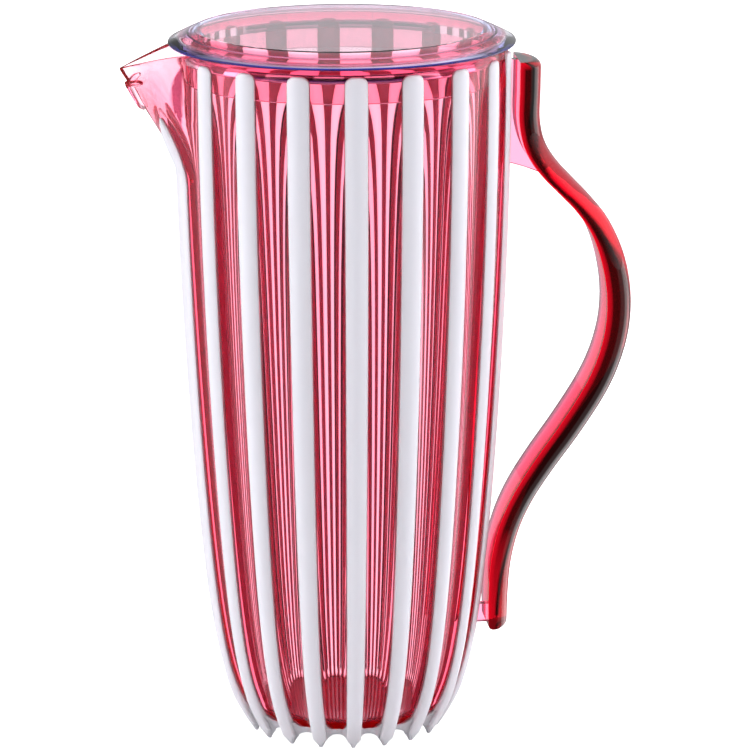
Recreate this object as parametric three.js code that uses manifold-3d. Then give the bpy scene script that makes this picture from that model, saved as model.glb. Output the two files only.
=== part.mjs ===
// Drinks carafe: a tinted clear jug in a cage of white ribs, with a strap handle and a clear lid.
// Millimetres, +Z up, feet on z = 0, spout towards -X and handle towards +X.
import * as THREE from 'three';
import { mergeVertices } from 'three/addons/utils/BufferGeometryUtils.js';
import Module from 'manifold-3d';

const FIT_GAP = 0.3; // play left between pieces that meet

// Jug
const RIM_HEIGHT = 256.4; // top of the mouth above the table
const RIM_RADIUS = 60.4; // outside of the mouth
const TAPER = 15.7; // radius lost on the long taper from rim to foot
const TAPER_POWER = 1.86; // the higher, the straighter the upper wall
const HEEL_TUCK = 10.2; // more radius lost round the heel
const HEEL_FADE = 19; // height over which the heel dies away
const WALL = 3; // between the bottom of a flute and the inside
const FLOOR = 3.3;
const COLLAR = 2.7; // plain band between the rib tops and the rim

// Ribs and flutes
const RIB_COUNT = 18;
const RIB_SHARE = 0.41; // part of the round that is rib
const RIB_BITE = 1.2; // how far a rib sinks into the wall
const RIB_CROWN = 1.5; // middle of a rib beyond its edges
const CROWN_FADE = 14; // height over which the crown grows from the foot
const RIB_CORNER = 3; // radius of the top corners
const SPOUT_RIB_DROP = 18.7; // the ribs under the spout end this much lower
const SPOUT_RIB_TAPER = 16; // length over which they narrow to a point
const SPOUT_RIB_POINT = 0.6; // the lower, the blunter the point
const SPOUT_RIB_TIP = 0.8; // width left at its end
const FLUTE_DEPTH = 1.9;
const FLUTE_FADE = 30; // length over which the flutes die away towards the collar
const HEEL_RECESS = 3.4; // wall behind the rib edges at the jug's underside
const RECESS_FADE = 7; // height over which the recess dies away
const FOOT_TIP = 2; // width of a foot on the table
const FOOT_POINT = 5; // height over which a rib narrows to its foot
const FOOT_RISE = 4.5; // base plate above the table
const BASE_PLATE = 2.1;

// Spout
const SPOUT_REACH = 81.3; // lip from the jug's axis
const SPOUT_DIP = 7.7; // lip below the rim
const SPOUT_RUN = 46.4; // height over which the spout grows out of the wall
const SPOUT_POWER = 1.05; // the lower, the straighter it leans out
const SPOUT_SWELL = 1.5; // power of the swell across its low part
const SPOUT_SHARPEN = 3; // power at which the swell turns into a V towards the lip
const SPOUT_SOFT = 0.06; // rounding where the V runs into the wall
const DRIP_DROP = 7.4; // drip bead below the lip, measured up the wall
const DRIP_HALF_ANGLE = THREE.MathUtils.degToRad(6);
const DRIP_SIZE = 2;
const KEEL_LENGTH = 11;
const KEEL_WIDTH = 2.4;
const KEEL_DEPTH = 1.5;
const KEEL_ROOT = 1; // how far bead and keel reach into the wall

// Handle
const HANDLE_DROP = 6.8; // top of the strap below the rim
const HANDLE_FOOT = 37.3; // free tail above the table
const HANDLE_WIDTH = 24;
const HANDLE_BOW = 43.5; // how far the strap's middle line swings out beyond the rib crests
const GRIP_THICK = 10.3; // thickest part of the strap, at the middle of its D section
const STRAP_EDGE = 0.5; // thickness at the long edges
const HEAD_ROUND = 3; // radius of the outer corner at the top
const TAIL_ROUND = 3;
const WEB_THICK = 3.6;
const UPPER_WEB = 46.6; // length down from the top of the strap, at the strap
const WEB_SLANT = 8.7; // the upper web ends this much higher at the wall
const WEB_HOLLOW = 1.1; // its lower edge arches up by this much
const LOWER_WEB = 7; // length up from the lower web's own foot
const TAIL_LENGTH = 0.6; // strap below the lower web
const WEB_SINK = 3; // webs start this far inside the wall before they are cut to it
const WEB_CUT = 9; // depth of the wall that cuts them
// Sweep of the strap's middle line: share of the handle's height, share of the bow, share of the thickness.
const HANDLE_SWEEP = [
  [1, 0.185, 0.864],
  [0.946, 0.182, 0.863],
  [0.898, 0.18, 0.85],
  [0.861, 0.214, 0.82],
  [0.833, 0.278, 0.78],
  [0.807, 0.374, 0.738],
  [0.78, 0.502, 0.705],
  [0.747, 0.657, 0.714],
  [0.705, 0.81, 0.804],
  [0.648, 0.929, 0.928],
  [0.588, 0.991, 0.976],
  [0.53, 0.994, 0.997],
  [0.473, 0.94, 1],
  [0.418, 0.835, 1],
  [0.351, 0.648, 0.98],
  [0.286, 0.444, 0.948],
  [0.23, 0.292, 0.918],
  [0.176, 0.198, 0.889],
  [0.117, 0.158, 0.853],
  [0.059, 0.169, 0.811],
  [0, 0.207, 0.77],
];

// Lid
const LID_RISE = 5.6; // lid top above the rim
const LID_SHEET = 2.4;
const LID_OVERHANG = 2.9; // rounded rim beyond the mouth
const LID_TOP_RADIUS = 53.7; // raised flat top
const LID_STEP = 0.4; // flat top above the sloping shoulder
const LID_LIP = 0.7; // radius of the rounded edge
const SKIRT_LENGTH = 13.4; // below the underside of the rim
const SKIRT_WALL = 2.6;
const SKIRT_PLAY = 1; // between skirt and mouth, taken up by the seal
const SLOT_COUNT = 17;
const SLOT_PITCH = THREE.MathUtils.degToRad(3);
const SLOT_WIDTH = 1.4;
const SLOT_HEIGHT = 7;
const SLOT_CUT = 8; // length of the cutter, more than the skirt is thick
const SEAL_DROP = 3; // groove below the underside of the rim
const SEAL_HEIGHT = 2.4;
const SEAL_BITE = 1; // depth of the seal inside its groove

// Mesh resolution
const FLUTE_STOPS = [0, 0.25, 0.5, 0.75, 1]; // points across a flute
const WALL_STEPS = 7;
const INSIDE_STEPS = 6;
const SPOUT_STEPS = 4;
const FOOT_STEPS = 3;
const CROWDING = 1.7; // levels lie closer together towards the table
const CORNER_STOPS = [1, 0.33, 0]; // levels round the top corners of a rib
const DRIP_STEPS = 6;
const KEEL_STEPS = 3;
const LID_SEGMENTS = 72;
const HANDLE_STEPS = 40;
const END_STOPS = [1, 0.45, 0.12, 0]; // points round the ends of the strap
const RIB_STEPS = 4; // points across a crowned rib
const STRAP_STEPS = 10; // points round the outside of its section
const LIP_STEPS = 4;

const PITCH = (2 * Math.PI) / RIB_COUNT;
const SPOUT_ANGLE = Math.PI;
const SPOUT_FOOT = RIM_HEIGHT - SPOUT_RUN;
const RIB_TOP = RIM_HEIGHT - COLLAR;
const SPOUT_RIB_TOP = RIB_TOP - SPOUT_RIB_DROP;
const BODY_LOW = FOOT_RISE + BASE_PLATE + FIT_GAP;
const FLOOR_TOP = BODY_LOW + FLOOR;

const wasm = await Module();
wasm.setup();

// Welds a closed geometry and drops the triangles that folded to nothing.
function weld(geometry) {
  geometry.deleteAttribute('normal');
  geometry.deleteAttribute('uv');
  const welded = mergeVertices(geometry, 1e-4);
  const corners = welded.index.array;
  const kept = [];
  for (let i = 0; i < corners.length; i += 3) {
    const [a, b, c] = corners.slice(i, i + 3);
    if (a !== b && b !== c && c !== a) {
      kept.push(a, b, c);
    }
  }
  welded.setIndex(kept);
  return welded;
}

function toSolid(geometry) {
  const welded = weld(geometry);
  return new wasm.Manifold(new wasm.Mesh({
    numProp: 3,
    vertProperties: new Float32Array(welded.attributes.position.array),
    triVerts: new Uint32Array(welded.index.array),
  }));
}

function toGeometry(solid) {
  const mesh = solid.getMesh();
  const geometry = new THREE.BufferGeometry();
  geometry.setAttribute('position', new THREE.BufferAttribute(mesh.vertProperties, 3));
  geometry.setIndex(new THREE.BufferAttribute(mesh.triVerts, 1));
  geometry.computeVertexNormals();
  return geometry;
}

// Radius of the rib edges, and of the jug's collar.
function crest(height) {
  const taper = TAPER * Math.max(0, 1 - height / RIM_HEIGHT) ** TAPER_POWER;
  return RIM_RADIUS - taper - HEEL_TUCK * Math.exp(-height / HEEL_FADE);
}

function fluteDepth(height) {
  return FLUTE_DEPTH * (1 - Math.exp(-Math.max(0, RIB_TOP - height) / FLUTE_FADE));
}

// How far the clear wall lies behind the rib edges.
function recess(height) {
  return HEEL_RECESS * Math.exp(-Math.max(0, height - BODY_LOW) / RECESS_FADE);
}

function insideRadius(height) {
  return crest(height) - fluteDepth(height) - recess(height) - WALL;
}

// How much a corner of this radius takes off at a distance from the end.
function cornerLoss(distance, radius) {
  const away = Math.max(0, radius - distance);
  return radius - Math.sqrt(radius * radius - away * away);
}

function ribAngle(rib) {
  return PITCH * (rib + 0.5);
}

function isSpoutRib(rib) {
  return Math.abs(ribAngle(rib) - SPOUT_ANGLE) < PITCH;
}

function ribTop(rib) {
  return isSpoutRib(rib) ? SPOUT_RIB_TOP : RIB_TOP;
}

function ribHalfWidth(rib, height) {
  const full = (RIB_SHARE * PITCH / 2) * crest(height);
  const below = Math.max(0, ribTop(rib) - height);
  const pointed = full * Math.min(1, below / SPOUT_RIB_TAPER) ** SPOUT_RIB_POINT;
  const blunt = full - cornerLoss(below, RIB_CORNER);
  const atTop = isSpoutRib(rib) ? Math.max(SPOUT_RIB_TIP / 2, pointed) : blunt;
  const rise = Math.min(1, height / FOOT_POINT);
  const spread = Math.sqrt(1 - (1 - rise) ** 2);
  return FOOT_TIP / 2 + (atTop - FOOT_TIP / 2) * spread;
}

function seatHalfAngle(rib, height) {
  return (ribHalfWidth(rib, height) + FIT_GAP) / crest(height);
}

// The spout's share of its full pull: 1 in its middle, 0 at the ribs beside it.
// Low down it is a broad swell. At the lip its sides run straight from the ribs to the tip.
const SPOUT_ROOT = PITCH * (1.5 - RIB_SHARE / 2) - FIT_GAP / RIM_RADIUS;
function spoutSpread(angle, rise) {
  const turn = Math.abs(Math.atan2(Math.sin(angle - SPOUT_ANGLE), Math.cos(angle - SPOUT_ANGLE)));
  if (turn >= SPOUT_ROOT) {
    return 0;
  }
  const rootSide = RIM_RADIUS * Math.sin(SPOUT_ROOT);
  const rootAhead = SPOUT_REACH - RIM_RADIUS * Math.cos(SPOUT_ROOT);
  const lip = (SPOUT_REACH * rootSide) / (rootSide * Math.cos(turn) + rootAhead * Math.sin(turn));
  const straight = Math.max(0, (lip - RIM_RADIUS) / (SPOUT_REACH - RIM_RADIUS));
  const sharp = straight ** 2 * (1 + SPOUT_SOFT) / (straight + SPOUT_SOFT);
  const broad = (1 - (turn / SPOUT_ROOT) ** 2) ** SPOUT_SWELL;
  return broad + (sharp - broad) * Math.min(1, rise) ** SPOUT_SHARPEN;
}

// Puts a point of the plain round wall in place, drawn out and down where the spout is.
function place(angle, radius, height) {
  const rise = Math.max(0, (height - SPOUT_FOOT) / SPOUT_RUN);
  const spread = spoutSpread(angle, rise);
  const reach = radius + (SPOUT_REACH - RIM_RADIUS) * rise ** SPOUT_POWER * spread;
  const lifted = height - SPOUT_DIP * rise * spread;
  return new THREE.Vector3(reach * Math.cos(angle), reach * Math.sin(angle), lifted);
}

// Columns round the jug: both sides of each rib's seat, then points across the flute after it.
const columns = [];
for (let rib = 0; rib < RIB_COUNT; rib += 1) {
  columns.push({ rib, side: -1 }, { rib, side: 1 });
  FLUTE_STOPS.forEach((across) => columns.push({ rib, across }));
}

function columnAngle(column, height) {
  const here = ribAngle(column.rib);
  if (column.side) {
    return here + column.side * seatHalfAngle(column.rib, height);
  }
  const start = here + seatHalfAngle(column.rib, height);
  const end = here + PITCH - seatHalfAngle((column.rib + 1) % RIB_COUNT, height);
  return start + column.across * (end - start);
}

// Depth below the rib edges at a column. The seats end with their ribs: passed counts the ends gone by.
function columnDepth(column, height, passed) {
  if (!column.side) {
    return recess(height) + fluteDepth(height) * 4 * column.across * (1 - column.across);
  }
  const ended = isSpoutRib(column.rib) ? passed > 0 : passed > 1;
  return recess(height) + (ended ? 0 : RIB_BITE + FIT_GAP);
}

// A closed solid of revolution whose profile points may differ from column to column.
function revolve(profile) {
  const stand = profile.map((point, i) => new THREE.Vector2(1, i));
  const geometry = new THREE.LatheGeometry(stand, columns.length);
  const position = geometry.attributes.position;
  for (let i = 0; i <= columns.length; i += 1) {
    profile.forEach((point, j) => {
      const { x, y, z } = point(columns[i % columns.length]);
      position.setXYZ(i * profile.length + j, x, y, z);
    });
  }
  return geometry;
}

function axisPoint(height) {
  return () => new THREE.Vector3(0, 0, height);
}

function spaced(from, to, steps, power) {
  return Array.from({ length: steps + 1 }, (unused, i) => from + (to - from) * (i / steps) ** power);
}

// Heights of the outer wall, closer together round the heel, with each rib end as a pair.
const spoutSeatTop = SPOUT_RIB_TOP + FIT_GAP;
const seatTop = RIB_TOP + FIT_GAP;
const cornerHeights = (top) => CORNER_STOPS.map((stop) => top - RIB_CORNER * stop);
const lowerHeights = [
  ...spaced(BODY_LOW, SPOUT_FOOT, WALL_STEPS, CROWDING),
  ...spaced(SPOUT_FOOT, SPOUT_RIB_TOP - RIB_CORNER, SPOUT_STEPS, 1).slice(1, -1),
];
const spoutHeights = spaced(spoutSeatTop, RIB_TOP - RIB_CORNER, SPOUT_STEPS, 1).slice(1, -1);
const underSpout = [...lowerHeights, ...cornerHeights(SPOUT_RIB_TOP)];
const besideSpout = [...spoutHeights, ...cornerHeights(RIB_TOP)];
const wallLevels = [
  ...[...underSpout, spoutSeatTop].map((height) => ({ height, passed: 0 })),
  ...[spoutSeatTop, ...besideSpout, seatTop].map((height) => ({ height, passed: 1 })),
  ...[seatTop, RIM_HEIGHT].map((height) => ({ height, passed: 2 })),
];

function wallPoint(level) {
  return (column) => {
    const radius = crest(level.height) - columnDepth(column, level.height, level.passed);
    return place(columnAngle(column, level.height), radius, level.height);
  };
}

function insidePoint(height) {
  return (column) => place(columnAngle(column, height), insideRadius(height), height);
}

// A block that follows the wall: across runs from -1 to 1, out is 0 or 1, up is a level number.
function wallBlock(acrossSteps, levels, shape) {
  const geometry = new THREE.BoxGeometry(1, 1, 1, acrossSteps, 1, levels.length - 1);
  const position = geometry.attributes.position;
  for (let i = 0; i < position.count; i += 1) {
    const across = -2 * position.getX(i);
    const out = position.getY(i) + 0.5;
    const level = Math.round((position.getZ(i) + 0.5) * (levels.length - 1));
    const { x, y, z } = shape(across, out, levels[level]);
    position.setXYZ(i, x, y, z);
  }
  return geometry;
}

function dripBead() {
  const middle = RIM_HEIGHT - DRIP_DROP;
  return wallBlock(DRIP_STEPS, [middle - DRIP_SIZE / 2, middle + DRIP_SIZE / 2], (across, out, height) => {
    const radius = crest(height) + (out ? DRIP_SIZE * (1 - across * across / 2) : -KEEL_ROOT);
    return place(SPOUT_ANGLE + across * DRIP_HALF_ANGLE, radius, height);
  });
}

function keel() {
  const top = RIM_HEIGHT - DRIP_DROP;
  return wallBlock(1, spaced(top - KEEL_LENGTH, top, KEEL_STEPS, 1), (across, out, height) => {
    const radius = crest(height) + (out ? KEEL_DEPTH : -KEEL_ROOT);
    const point = place(SPOUT_ANGLE, radius, height);
    return point.setY(-across * KEEL_WIDTH / 2);
  });
}

function jugBody() {
  const insideHeights = [
    ...spaced(FLOOR_TOP, SPOUT_FOOT, INSIDE_STEPS, CROWDING),
    ...spaced(SPOUT_FOOT, RIM_HEIGHT, SPOUT_STEPS, 1).slice(1),
  ];
  const shell = revolve([
    axisPoint(BODY_LOW),
    ...wallLevels.map(wallPoint),
    ...insideHeights.reverse().map(insidePoint),
    axisPoint(FLOOR_TOP),
  ]);
  return toGeometry(toSolid(shell).add(toSolid(dripBead())).add(toSolid(keel())));
}

function ribSolid(rib) {
  const foot = spaced(0, FOOT_POINT, FOOT_STEPS, CROWDING);
  const upper = isSpoutRib(rib) ? cornerHeights(SPOUT_RIB_TOP) : besideSpout;
  const levels = [...foot, ...lowerHeights, ...upper];
  return toSolid(wallBlock(RIB_STEPS, levels, (across, out, height) => {
    const angle = ribAngle(rib) + across * ribHalfWidth(rib, height) / crest(height);
    const crown = RIB_CROWN * (1 - across * across) * Math.min(1, height / CROWN_FADE);
    return place(angle, crest(height) + (out ? crown : -recess(height) - RIB_BITE), height);
  }));
}

function basePlate() {
  const edge = (height) => (column) => {
    const inset = column.side ? recess(height) / 2 : columnDepth(column, height, 0);
    return place(columnAngle(column, BODY_LOW), crest(height) - inset - FIT_GAP, height);
  };
  const top = FOOT_RISE + BASE_PLATE;
  return toSolid(revolve([axisPoint(FOOT_RISE), edge(FOOT_RISE), edge(top), axisPoint(top)]));
}

function ribCage() {
  let cage = basePlate();
  for (let rib = 0; rib < RIB_COUNT; rib += 1) {
    cage = cage.add(ribSolid(rib));
  }
  return toGeometry(cage);
}

const HANDLE_TOP = RIM_HEIGHT - HANDLE_DROP;

// The strap's middle line: x from the jug's axis, y up, and the strap's thickness there as z.
const handleLine = new THREE.CatmullRomCurve3(HANDLE_SWEEP.map(([share, bow, thick]) => {
  const height = HANDLE_FOOT + share * (HANDLE_TOP - HANDLE_FOOT);
  return new THREE.Vector3(crest(height) + HANDLE_BOW * bow, height, GRIP_THICK * thick);
}), false, 'catmullrom');
const handleLength = handleLine.getLength();
const handleStops = [
  ...END_STOPS.map((stop) => HEAD_ROUND * stop).reverse(),
  ...spaced(HEAD_ROUND, handleLength - TAIL_ROUND, HANDLE_STEPS, 1).slice(1, -1),
  ...END_STOPS.map((stop) => handleLength - TAIL_ROUND * stop),
];

// A point of the strap: across runs from edge to edge, out is 0 on the flat inside, 1 on the round outside.
function strapPoint(across, out, stop) {
  const middle = handleLine.getPointAt(stop / handleLength);
  const along = handleLine.getTangentAt(stop / handleLength);
  const side = new THREE.Vector2(-along.y, along.x).normalize();
  const half = middle.z / 2 - cornerLoss(handleLength - stop, TAIL_ROUND);
  const full = 2 * half - cornerLoss(stop, HEAD_ROUND);
  const edge = STRAP_EDGE / GRIP_THICK;
  const turn = across * Math.PI / 2;
  const offset = out ? full * (edge + (1 - edge) * Math.cos(turn)) - half : -half;
  const depth = -Math.sin(turn) * HANDLE_WIDTH / 2;
  return new THREE.Vector3(middle.x + side.x * offset, depth, middle.y + side.y * offset);
}
const HANDLE_REACH = Math.max(...handleStops.map((stop) => strapPoint(0, 1, stop).x));

// A plate standing in the plane of spout and handle, given its side view.
function uprightPlate(points, thick) {
  const shape = new THREE.Shape(points);
  const geometry = new THREE.ExtrudeGeometry(shape, { depth: thick, bevelEnabled: false });
  geometry.translate(0, 0, -thick / 2);
  geometry.rotateX(Math.PI / 2);
  return toSolid(geometry);
}

// Side view of a web, from inside the wall out to the strap's middle line, where it runs further down.
function webOutline(low, high, slant) {
  const points = [];
  for (let step = 0; step <= HANDLE_STEPS; step += 1) {
    const point = handleLine.getPoint(step / HANDLE_STEPS);
    if (point.y > low - slant && point.y < high) {
      points.push(new THREE.Vector2(point.x, point.y));
    }
  }
  const wall = (height) => new THREE.Vector2(insideRadius(height) + WALL - WEB_SINK, height);
  const hollow = points[points.length - 1].clone().lerp(wall(low), 0.5);
  hollow.y += slant ? WEB_HOLLOW : 0;
  return [wall(high), ...points, hollow, wall(low)];
}

// The wall between the two ribs beside the handle, grown by the fit gap.
function wallAtHandle() {
  const across = FLUTE_STOPS.slice(1, -1);
  const levels = [{ height: FOOT_RISE, passed: 0 }, ...wallLevels.filter(({ height }, i) => (
    i === 0 || height > wallLevels[i - 1].height
  ))];
  return toSolid(wallBlock(across.length - 1, levels, (turn, out, level) => {
    const stop = across[Math.round((turn + 1) / 2 * (across.length - 1))];
    const column = { rib: RIB_COUNT - 1, across: stop };
    const depth = columnDepth(column, level.height, level.passed);
    const radius = crest(level.height) - depth + (out ? FIT_GAP : -WEB_CUT);
    return place(columnAngle(column, level.height), radius, level.height);
  }));
}

function handle() {
  const foot = HANDLE_FOOT + TAIL_LENGTH;
  const upper = webOutline(HANDLE_TOP - UPPER_WEB + WEB_SLANT, HANDLE_TOP - FIT_GAP, WEB_SLANT);
  const lower = webOutline(foot, foot + LOWER_WEB, 0);
  const strap = toSolid(wallBlock(STRAP_STEPS, handleStops, strapPoint));
  const joined = strap.add(uprightPlate(upper, WEB_THICK)).add(uprightPlate(lower, WEB_THICK));
  return toGeometry(joined.subtract(wallAtHandle()));
}

// Lid
const LID_UNDER = RIM_HEIGHT + FIT_GAP;
const LID_TOP = RIM_HEIGHT + LID_RISE;
const LID_RADIUS = RIM_RADIUS + LID_OVERHANG;
const SKIRT_LOW = LID_UNDER - SKIRT_LENGTH;
const SKIRT_RADIUS = insideRadius(SKIRT_LOW) - SKIRT_PLAY;
const GROOVE_TOP = LID_UNDER - SEAL_DROP;
const GROOVE_LOW = GROOVE_TOP - SEAL_HEIGHT - 2 * FIT_GAP;
const GROOVE_RADIUS = SKIRT_RADIUS - SEAL_BITE - FIT_GAP;

// A ring or disc about the jug's axis, from a profile of [radius, height] that runs up its outside.
function turned(profile) {
  const points = profile.map(([radius, height]) => new THREE.Vector2(radius, height));
  const geometry = new THREE.LatheGeometry(points, LID_SEGMENTS);
  geometry.rotateX(Math.PI / 2);
  return geometry;
}

function lidProfile() {
  const lip = spaced(-Math.PI / 2, Math.PI / 2, LIP_STEPS, 1).map((turn) => [
    LID_RADIUS - LID_LIP + LID_LIP * Math.cos(turn),
    LID_UNDER + LID_LIP + LID_LIP * Math.sin(turn),
  ]);
  return [
    [0, LID_TOP - LID_SHEET],
    [SKIRT_RADIUS - SKIRT_WALL, LID_TOP - LID_SHEET],
    [SKIRT_RADIUS - SKIRT_WALL, SKIRT_LOW],
    [SKIRT_RADIUS, SKIRT_LOW],
    [SKIRT_RADIUS, GROOVE_LOW],
    [GROOVE_RADIUS, GROOVE_LOW],
    [GROOVE_RADIUS, GROOVE_TOP],
    [SKIRT_RADIUS, GROOVE_TOP],
    [SKIRT_RADIUS, LID_UNDER],
    ...lip,
    [LID_TOP_RADIUS + LID_STEP, LID_TOP - LID_STEP],
    [LID_TOP_RADIUS, LID_TOP],
    [0, LID_TOP],
  ];
}

function lidCover() {
  let lid = toSolid(turned(lidProfile()));
  for (let slot = 0; slot < SLOT_COUNT; slot += 1) {
    const cut = new THREE.BoxGeometry(SLOT_CUT, SLOT_WIDTH, 2 * SLOT_HEIGHT);
    cut.translate(SKIRT_RADIUS - SKIRT_WALL / 2, 0, SKIRT_LOW);
    cut.rotateZ(SPOUT_ANGLE + (slot - (SLOT_COUNT - 1) / 2) * SLOT_PITCH);
    lid = lid.subtract(toSolid(cut));
  }
  return toGeometry(lid);
}

function lidSeal() {
  const low = GROOVE_LOW + FIT_GAP;
  const high = low + SEAL_HEIGHT;
  const inner = GROOVE_RADIUS + FIT_GAP;
  const outer = insideRadius(low) - FIT_GAP;
  const ring = [[inner, low], [outer, low], [outer, high], [inner, high], [inner, low]];
  return toGeometry(toSolid(turned(ring)));
}

function plastic(color, roughness, opacity) {
  return new THREE.MeshStandardMaterial({
    color, roughness, metalness: 0, opacity, transparent: opacity < 1,
  });
}

const carafe = new THREE.Group();
const jug = new THREE.Group();
jug.position.x = (SPOUT_REACH - HANDLE_REACH) / 2; // the origin lies midway between lip and grip
carafe.add(jug);

function addPiece(name, geometry, material) {
  const mesh = new THREE.Mesh(geometry, material);
  mesh.name = name;
  jug.add(mesh);
}

addPiece('jug_body', jugBody(), plastic(0xd8365f, 0.06, 0.5));
addPiece('rib_cage', ribCage(), plastic(0xf2f2f6, 0.35, 1));
addPiece('handle', handle(), plastic(0xc8203c, 0.06, 0.75));
addPiece('lid_cover', lidCover(), plastic(0xe4dde8, 0.05, 0.35));
addPiece('lid_seal', lidSeal(), plastic(0xe9d3da, 0.5, 0.6));

export default carafe;
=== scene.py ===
# %% [markdown]
# # A ribbed carafe with a lid
# The object is a tall jug of tinted clear plastic. White ribs are set into its wall and run down into
# pointed feet, a strap handle swings out on one side, and a clear lid closes the mouth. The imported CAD
# model is loaded first and stays fixed, so that every new piece goes where the CAD says.

# %% Load the frame
import math

import bmesh
import bpy
import numpy as np
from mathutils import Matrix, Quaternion, Vector


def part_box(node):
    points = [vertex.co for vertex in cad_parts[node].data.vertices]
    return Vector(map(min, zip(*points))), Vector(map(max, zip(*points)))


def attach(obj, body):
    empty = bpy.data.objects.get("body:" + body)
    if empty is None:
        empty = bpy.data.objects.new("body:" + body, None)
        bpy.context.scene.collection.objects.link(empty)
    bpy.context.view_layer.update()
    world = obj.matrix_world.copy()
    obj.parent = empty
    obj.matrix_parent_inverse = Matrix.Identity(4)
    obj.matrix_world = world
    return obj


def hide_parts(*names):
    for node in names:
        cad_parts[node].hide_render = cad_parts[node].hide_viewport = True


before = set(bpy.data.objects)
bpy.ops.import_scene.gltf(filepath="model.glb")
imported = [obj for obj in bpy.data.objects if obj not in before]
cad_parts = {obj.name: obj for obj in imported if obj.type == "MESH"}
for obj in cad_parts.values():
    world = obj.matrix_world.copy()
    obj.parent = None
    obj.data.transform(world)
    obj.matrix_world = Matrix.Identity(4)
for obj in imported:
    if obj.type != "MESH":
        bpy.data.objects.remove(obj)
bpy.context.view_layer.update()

MM = 0.001
seal_low, seal_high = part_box("lid_seal")
AXIS_X = (seal_low.x + seal_high.x) / 2
print("nodes:", sorted(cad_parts), "jug axis at x =", round(AXIS_X / MM, 2), "mm")

# %% [markdown]
# ## The shape of the wall
# A few curves decide the shape all round the jug: how far out the rib edges lie at a height, how deep the
# flutes between them are, and how the wall draws in above the floor. Written once as functions of height,
# in millimetres from the jug's axis, they keep wall, ribs and base in step.

# %% Curves of the wall
RIM_HEIGHT = 256.4
RIM_RADIUS = 60.4
TAPER = 15.7
TAPER_POWER = 1.86
HEEL_PULL = 10.2
HEEL_RISE = 19.0
WALL = 2.9
BODY_LOW = 6.8
FLOOR_TOP = 10.4
RIB_TOP = 253.7
FLUTE_DEPTH = 1.88
FLUTE_FADE = 30.0
HEEL_DEPTH = 3.4
HEEL_FADE = 7.0


def crest(height):
    """How far out the edges of the ribs lie."""
    taper = TAPER * np.maximum(0, 1 - height / RIM_HEIGHT) ** TAPER_POWER
    return RIM_RADIUS - taper - HEEL_PULL * np.exp(-height / HEEL_RISE)


def flute_depth(height):
    return FLUTE_DEPTH * (1 - np.exp(-np.maximum(0, RIB_TOP - height) / FLUTE_FADE))


def wall_drop(height):
    """How far the clear wall draws in behind the rib edges where it rounds into the floor."""
    return HEEL_DEPTH * np.exp(-np.maximum(0, height - BODY_LOW) / HEEL_FADE)


def inside_radius(height):
    return crest(height) - flute_depth(height) - wall_drop(height) - WALL


print("crest radius at foot, middle and rim:", [round(float(crest(h)), 1) for h in (0.0, 128.0, RIM_HEIGHT)])

# %% [markdown]
# ## The width of a rib
# A rib covers a fixed share of the way round and ends at the top with rounded corners. The two ribs under
# the spout taper to a point instead. At the foot a rib narrows to a tip, along the arch between two feet.

# %% Width of a rib
RIB_COUNT = 18
PITCH = 2 * math.pi / RIB_COUNT
RIB_SHARE = 0.41
RIB_CORNER = 3.0
RIB_ROOT = 1.2
SPOUT_RIB_TOP = 235.0
SPOUT_RIB_TAPER = 16.0
SPOUT_RIB_POWER = 0.6
SPOUT_RIB_TIP = 0.4
FOOT_RISE = 4.5
FOOT_TIP = 0.5


def corner_loss(distance, radius):
    """What a rounded corner takes off a side, at a distance from the corner's end."""
    away = np.maximum(0, radius - distance)
    return radius - np.sqrt(radius * radius - away * away)


def rib_half_width(height, top):
    full = RIB_SHARE * PITCH / 2 * crest(height)
    blunt = full - corner_loss(np.maximum(0, top - height), RIB_CORNER)
    taper = np.clip((top - height) / SPOUT_RIB_TAPER, 0, 1) ** SPOUT_RIB_POWER
    pointed = np.maximum(SPOUT_RIB_TIP, full * taper)
    at_top = np.where(np.equal(top, SPOUT_RIB_TOP), pointed, blunt)
    rise = np.clip(height / FOOT_RISE, 0, 1)
    arch = PITCH / 2 * crest(height) * (1 - np.cbrt(1 - rise))
    return np.minimum(at_top, FOOT_TIP + arch)


print("ribs are", round(2 * float(rib_half_width(128.0, RIB_TOP)), 1), "mm wide half way up")

# %% [markdown]
# ## The pull of the spout
# The spout is part of the mould: a broad swell low down that sharpens to a V at the lip and dips a little.
# Every point of the wall goes through one function, so the ribs beside the spout bend with it.

# %% Pull of the spout
FIT_GAP = 0.3
SPOUT_REACH = 81.3
SPOUT_DIP = 7.7
SPOUT_FOOT = 210.0
SPOUT_POWER = 1.05
SPOUT_SWELL = 1.5
SPOUT_SHARPEN = 3
SPOUT_ROOT = PITCH * (1.5 - RIB_SHARE / 2) - FIT_GAP / RIM_RADIUS
ROOT_ROUND = 0.2


def spout_spread(angle, rise):
    """The share of the spout's pull at an angle. The rise is 0 at the spout's foot and 1 at the rim."""
    turn = np.abs(np.arctan2(np.sin(angle - math.pi), np.cos(angle - math.pi)))
    root_side = RIM_RADIUS * math.sin(SPOUT_ROOT)
    root_ahead = SPOUT_REACH - RIM_RADIUS * math.cos(SPOUT_ROOT)
    lip = SPOUT_REACH * root_side / (root_side * np.cos(turn) + root_ahead * np.sin(turn))
    sharp = np.maximum(0, (lip - RIM_RADIUS) / (SPOUT_REACH - RIM_RADIUS))
    sharp = sharp * sharp * (1 + ROOT_ROUND) / (sharp + ROOT_ROUND)
    broad = np.maximum(0, 1 - (turn / SPOUT_ROOT) ** 2) ** SPOUT_SWELL
    share = np.clip(rise, 0, 1) ** SPOUT_SHARPEN
    return np.where(turn < SPOUT_ROOT, broad + (sharp - broad) * share, 0)


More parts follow.
